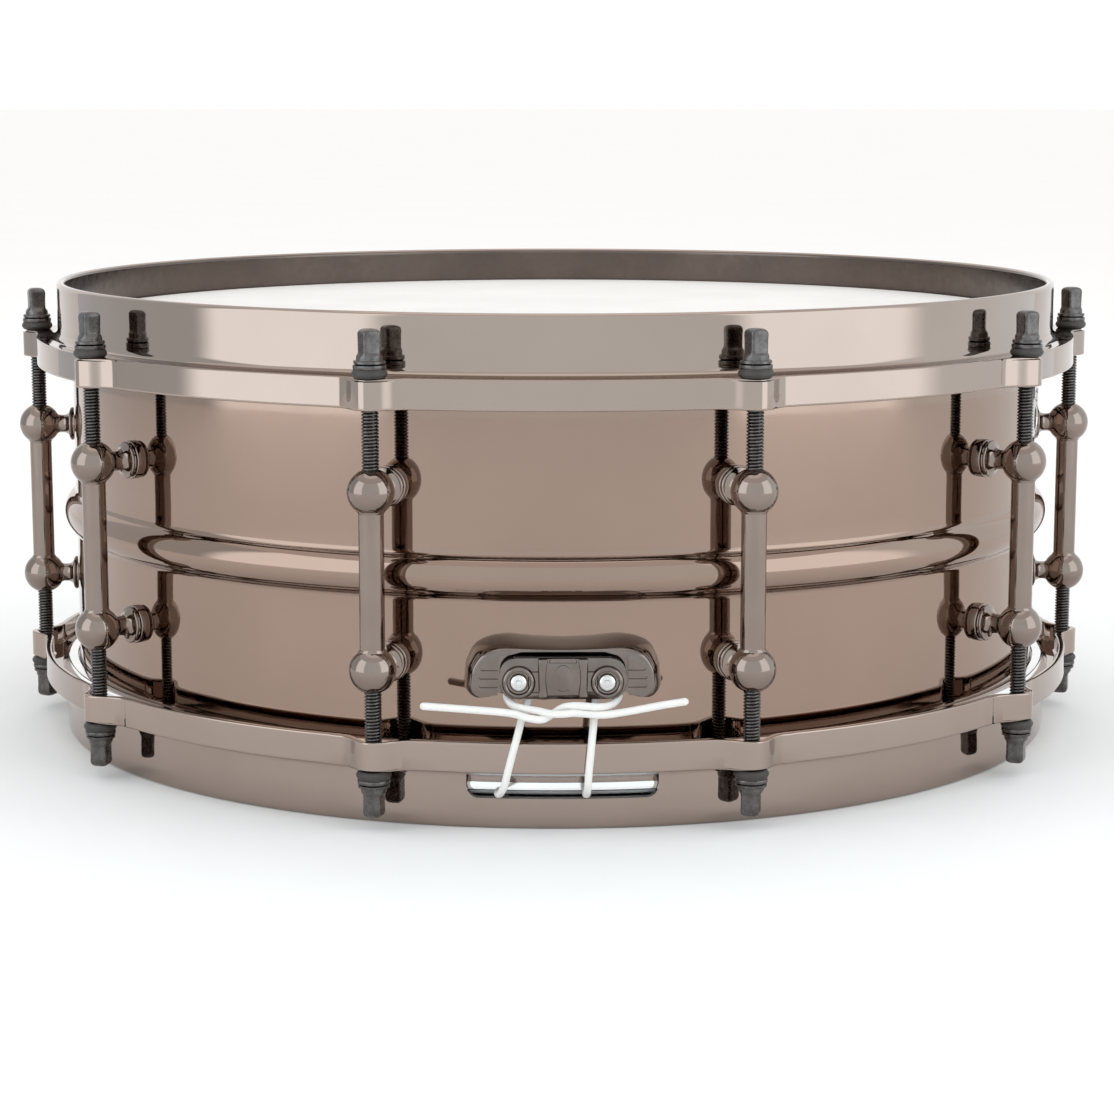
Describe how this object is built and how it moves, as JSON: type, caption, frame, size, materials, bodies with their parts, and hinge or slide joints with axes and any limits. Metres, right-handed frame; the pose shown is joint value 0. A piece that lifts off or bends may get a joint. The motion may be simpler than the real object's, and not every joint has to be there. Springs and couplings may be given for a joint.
{
  "type": "snare drum",
  "caption": "Metal-shell snare drum with a centre bead, tube lugs, eared hoops, two heads, a strainer, a butt plate and snare wires.",
  "frame": {"origin": "on the drum's axis, in the plane of the snare-side rim that the drum rests on", "axes": "+Z along the drum's axis, up through the batter head; -Y towards the butt plate, +Y towards the strainer, +X towards the badge's side"},
  "size_m": [0.4004, 0.398, 0.1633],
  "materials": {
    "black_nickel": "polished black nickel plating over metal",
    "blackened_steel": "blackened steel, satin",
    "bright_nickel": "polished nickel",
    "aluminium": "rolled aluminium",
    "snare_steel": "bright steel spring wire",
    "brass": "plain brass",
    "nylon": "black nylon",
    "coated_film": "white sprayed coating on polyester film",
    "clear_film": "clear polyester film",
    "cord": "white braided nylon cord"
  },
  "bodies": {
    "drum": {"shell": "black_nickel", "badge": "bright_nickel", "vent_grommet": "brass", "lug_tubes": "black_nickel", "lug_posts_upper": "black_nickel", "lug_posts_lower": "black_nickel", "lug_screws": "blackened_steel", "lug_washers": "bright_nickel", "batter_head": "coated_film", "batter_flesh_hoop": "aluminium", "snare_head": "clear_film", "snare_flesh_hoop": "aluminium", "butt_base": "black_nickel", "butt_mount_screws": "blackened_steel", "strainer_base": "black_nickel", "strainer_mount_screws": "blackened_steel", "strainer_pivot": "bright_nickel", "snare_strap": "clear_film", "snare_cord": "cord", "cord_tail_left": "cord", "cord_tail_right": "cord"},
    "batter_hoop": {"batter_hoop": "black_nickel", "batter_washers_nylon": "nylon", "batter_washers_steel": "blackened_steel"},
    "snare_hoop": {"snare_hoop": "black_nickel", "snare_washers_nylon": "nylon", "snare_washers_steel": "blackened_steel"},
    "batter_rod_01": {"batter_rod_01": "blackened_steel"},
    "batter_rod_02": {"batter_rod_02": "blackened_steel"},
    "batter_rod_03": {"batter_rod_03": "blackened_steel"},
    "batter_rod_04": {"batter_rod_04": "blackened_steel"},
    "batter_rod_05": {"batter_rod_05": "blackened_steel"},
    "batter_rod_06": {"batter_rod_06": "blackened_steel"},
    "batter_rod_07": {"batter_rod_07": "blackened_steel"},
    "batter_rod_08": {"batter_rod_08": "blackened_steel"},
    "batter_rod_09": {"batter_rod_09": "blackened_steel"},
    "batter_rod_10": {"batter_rod_10": "blackened_steel"},
    "snare_rod_01": {"snare_rod_01": "blackened_steel"},
    "snare_rod_02": {"snare_rod_02": "blackened_steel"},
    "snare_rod_03": {"snare_rod_03": "blackened_steel"},
    "snare_rod_04": {"snare_rod_04": "blackened_steel"},
    "snare_rod_05": {"snare_rod_05": "blackened_steel"},
    "snare_rod_06": {"snare_rod_06": "blackened_steel"},
    "snare_rod_07": {"snare_rod_07": "blackened_steel"},
    "snare_rod_08": {"snare_rod_08": "blackened_steel"},
    "snare_rod_09": {"snare_rod_09": "blackened_steel"},
    "snare_rod_10": {"snare_rod_10": "blackened_steel"},
    "butt_clamp": {"butt_clamp": "black_nickel"},
    "butt_screw_left": {"butt_screw_left": "bright_nickel"},
    "butt_screw_right": {"butt_screw_right": "bright_nickel"},
    "strainer_lever": {"strainer_lever": "black_nickel"},
    "strainer_carriage": {"strainer_carriage": "black_nickel"},
    "strainer_knob": {"strainer_knob": "black_nickel"},
    "strainer_jaw": {"strainer_jaw": "black_nickel"},
    "jaw_screw_left": {"strainer_jaw_screw_left": "blackened_steel"},
    "jaw_screw_right": {"strainer_jaw_screw_right": "blackened_steel"},
    "snares": {"snare_wires": "snare_steel", "snare_plate_butt": "brass", "snare_plate_strainer": "brass"}
  },
  "joints": [
    {"name": "batter_hoop_slide", "type": "slide", "parent": "drum", "child": "batter_hoop", "axis": [0, 0, 1], "range_m": [0, 0.006]},
    {"name": "snare_hoop_slide", "type": "slide", "parent": "drum", "child": "snare_hoop", "axis": [0, 0, -1], "range_m": [0, 0.0025]},
    {"name": "batter_rod_01_turn", "type": "hinge", "parent": "batter_hoop", "child": "batter_rod_01", "pos_m": [0.05956, -0.18332, 0.1478], "axis": [0, 0, 1], "range_deg": [0, 2043.6]},
    {"name": "batter_rod_02_turn", "type": "hinge", "parent": "batter_hoop", "child": "batter_rod_02", "pos_m": [0.15594, -0.1133, 0.1478], "axis": [0, 0, 1], "range_deg": [0, 2043.6]},
    {"name": "batter_rod_03_turn", "type": "hinge", "parent": "batter_hoop", "child": "batter_rod_03", "pos_m": [0.19275, 0, 0.1478], "axis": [0, 0, 1], "range_deg": [0, 2043.6]},
    {"name": "batter_rod_04_turn", "type": "hinge", "parent": "batter_hoop", "child": "batter_rod_04", "pos_m": [0.15594, 0.1133, 0.1478], "axis": [0, 0, 1], "range_deg": [0, 2043.6]},
    {"name": "batter_rod_05_turn", "type": "hinge", "parent": "batter_hoop", "child": "batter_rod_05", "pos_m": [0.05956, 0.18332, 0.1478], "axis": [0, 0, 1], "range_deg": [0, 2043.6]},
    {"name": "batter_rod_06_turn", "type": "hinge", "parent": "batter_hoop", "child": "batter_rod_06", "pos_m": [-0.05956, 0.18332, 0.1478], "axis": [0, 0, 1], "range_deg": [0, 2043.6]},
    {"name": "batter_rod_07_turn", "type": "hinge", "parent": "batter_hoop", "child": "batter_rod_07", "pos_m": [-0.15594, 0.1133, 0.1478], "axis": [0, 0, 1], "range_deg": [0, 2043.6]},
    {"name": "batter_rod_08_turn", "type": "hinge", "parent": "batter_hoop", "child": "batter_rod_08", "pos_m": [-0.19275, 0, 0.1478], "axis": [0, 0, 1], "range_deg": [0, 2043.6]},
    {"name": "batter_rod_09_turn", "type": "hinge", "parent": "batter_hoop", "child": "batter_rod_09", "pos_m": [-0.15594, -0.1133, 0.1478], "axis": [0, 0, 1], "range_deg": [0, 2043.6]},
    {"name": "batter_rod_10_turn", "type": "hinge", "parent": "batter_hoop", "child": "batter_rod_10", "pos_m": [-0.05956, -0.18332, 0.1478], "axis": [0, 0, 1], "range_deg": [0, 2043.6]},
    {"name": "snare_rod_01_turn", "type": "hinge", "parent": "snare_hoop", "child": "snare_rod_01", "pos_m": [0.05956, -0.18332, 0.0155], "axis": [0, 0, -1], "range_deg": [0, 851.5]},
    {"name": "snare_rod_02_turn", "type": "hinge", "parent": "snare_hoop", "child": "snare_rod_02", "pos_m": [0.15594, -0.1133, 0.0155], "axis": [0, 0, -1], "range_deg": [0, 851.5]},
    {"name": "snare_rod_03_turn", "type": "hinge", "parent": "snare_hoop", "child": "snare_rod_03", "pos_m": [0.19275, 0, 0.0155], "axis": [0, 0, -1], "range_deg": [0, 851.5]},
    {"name": "snare_rod_04_turn", "type": "hinge", "parent": "snare_hoop", "child": "snare_rod_04", "pos_m": [0.15594, 0.1133, 0.0155], "axis": [0, 0, -1], "range_deg": [0, 851.5]},
    {"name": "snare_rod_05_turn", "type": "hinge", "parent": "snare_hoop", "child": "snare_rod_05", "pos_m": [0.05956, 0.18332, 0.0155], "axis": [0, 0, -1], "range_deg": [0, 851.5]},
    {"name": "snare_rod_06_turn", "type": "hinge", "parent": "snare_hoop", "child": "snare_rod_06", "pos_m": [-0.05956, 0.18332, 0.0155], "axis": [0, 0, -1], "range_deg": [0, 851.5]},
    {"name": "snare_rod_07_turn", "type": "hinge", "parent": "snare_hoop", "child": "snare_rod_07", "pos_m": [-0.15594, 0.1133, 0.0155], "axis": [0, 0, -1], "range_deg": [0, 851.5]},
    {"name": "snare_rod_08_turn", "type": "hinge", "parent": "snare_hoop", "child": "snare_rod_08", "pos_m": [-0.19275, 0, 0.0155], "axis": [0, 0, -1], "range_deg": [0, 851.5]},
    {"name": "snare_rod_09_turn", "type": "hinge", "parent": "snare_hoop", "child": "snare_rod_09", "pos_m": [-0.15594, -0.1133, 0.0155], "axis": [0, 0, -1], "range_deg": [0, 851.5]},
    {"name": "snare_rod_10_turn", "type": "hinge", "parent": "snare_hoop", "child": "snare_rod_10", "pos_m": [-0.05956, -0.18332, 0.0155], "axis": [0, 0, -1], "range_deg": [0, 851.5]},
    {"name": "butt_clamp_slide", "type": "slide", "parent": "drum", "child": "butt_clamp", "axis": [0, -1, 0], "range_m": [0, 0.0015]},
    {"name": "butt_screw_left_turn", "type": "hinge", "parent": "butt_clamp", "child": "butt_screw_left", "pos_m": [-0.0138, -0.1893, 0.049], "axis": [0, -1, 0], "range_deg": [0, 772.2]},
    {"name": "butt_screw_right_turn", "type": "hinge", "parent": "butt_clamp", "child": "butt_screw_right", "pos_m": [0.0138, -0.1893, 0.049], "axis": [0, -1, 0], "range_deg": [0, 772.2]},
    {"name": "strainer_lever_swing", "type": "hinge", "parent": "drum", "child": "strainer_lever", "pos_m": [0, 0.197, 0.062], "axis": [0, 1, 0], "range_deg": [0, 120]},
    {"name": "strainer_carriage_slide", "type": "slide", "parent": "drum", "child": "strainer_carriage", "axis": [0, 0, -1], "range_m": [0, 0.006]},
    {"name": "snares_drop", "type": "slide", "parent": "drum", "child": "snares", "axis": [0, 0, -1], "range_m": [0, 0.003], "deforming": ["snare_strap", "snare_cord"]},
    {"name": "strainer_knob_turn", "type": "hinge", "parent": "strainer_carriage", "child": "strainer_knob", "pos_m": [0, 0.1885, 0.08], "axis": [0, 0, 1], "continuous": true},
    {"name": "strainer_jaw_slide", "type": "slide", "parent": "strainer_carriage", "child": "strainer_jaw", "axis": [0, 1, 0], "range_m": [0, 0.0015]},
    {"name": "jaw_screw_left_turn", "type": "hinge", "parent": "strainer_jaw", "child": "jaw_screw_left", "pos_m": [-0.006, 0.197, 0.045], "axis": [0, 1, 0], "range_deg": [0, 772.2]},
    {"name": "jaw_screw_right_turn", "type": "hinge", "parent": "strainer_jaw", "child": "jaw_screw_right", "pos_m": [0.006, 0.197, 0.045], "axis": [0, 1, 0], "range_deg": [0, 772.2]}
  ],
  "couplings": [
    {"joint": "batter_rod_01_turn", "follows": "batter_hoop_slide", "rad_per_m": 5938.7},
    {"joint": "batter_rod_02_turn", "follows": "batter_hoop_slide", "rad_per_m": 5938.7},
    {"joint": "batter_rod_03_turn", "follows": "batter_hoop_slide", "rad_per_m": 5938.7},
    {"joint": "batter_rod_04_turn", "follows": "batter_hoop_slide", "rad_per_m": 5938.7},
    {"joint": "batter_rod_05_turn", "follows": "batter_hoop_slide", "rad_per_m": 5938.7},
    {"joint": "batter_rod_06_turn", "follows": "batter_hoop_slide", "rad_per_m": 5938.7},
    {"joint": "batter_rod_07_turn", "follows": "batter_hoop_slide", "rad_per_m": 5938.7},
    {"joint": "batter_rod_08_turn", "follows": "batter_hoop_slide", "rad_per_m": 5938.7},
    {"joint": "batter_rod_09_turn", "follows": "batter_hoop_slide", "rad_per_m": 5938.7},
    {"joint": "batter_rod_10_turn", "follows": "batter_hoop_slide", "rad_per_m": 5938.7},
    {"joint": "snare_rod_01_turn", "follows": "snare_hoop_slide", "rad_per_m": 5938.7},
    {"joint": "snare_rod_02_turn", "follows": "snare_hoop_slide", "rad_per_m": 5938.7},
    {"joint": "snare_rod_03_turn", "follows": "snare_hoop_slide", "rad_per_m": 5938.7},
    {"joint": "snare_rod_04_turn", "follows": "snare_hoop_slide", "rad_per_m": 5938.7},
    {"joint": "snare_rod_05_turn", "follows": "snare_hoop_slide", "rad_per_m": 5938.7},
    {"joint": "snare_rod_06_turn", "follows": "snare_hoop_slide", "rad_per_m": 5938.7},
    {"joint": "snare_rod_07_turn", "follows": "snare_hoop_slide", "rad_per_m": 5938.7},
    {"joint": "snare_rod_08_turn", "follows": "snare_hoop_slide", "rad_per_m": 5938.7},
    {"joint": "snare_rod_09_turn", "follows": "snare_hoop_slide", "rad_per_m": 5938.7},
    {"joint": "snare_rod_10_turn", "follows": "snare_hoop_slide", "rad_per_m": 5938.7},
    {"joint": "butt_screw_left_turn", "follows": "butt_clamp_slide", "rad_per_m": 8976},
    {"joint": "butt_screw_right_turn", "follows": "butt_clamp_slide", "rad_per_m": 8976},
    {"joint": "strainer_carriage_slide", "follows": "strainer_lever_swing", "m_per_rad": 0.0028648},
    {"joint": "snares_drop", "follows": "strainer_lever_swing", "m_per_rad": 0.0014324},
    {"joint": "jaw_screw_left_turn", "follows": "strainer_jaw_slide", "rad_per_m": 8976},
    {"joint": "jaw_screw_right_turn", "follows": "strainer_jaw_slide", "rad_per_m": 8976}
  ]
}
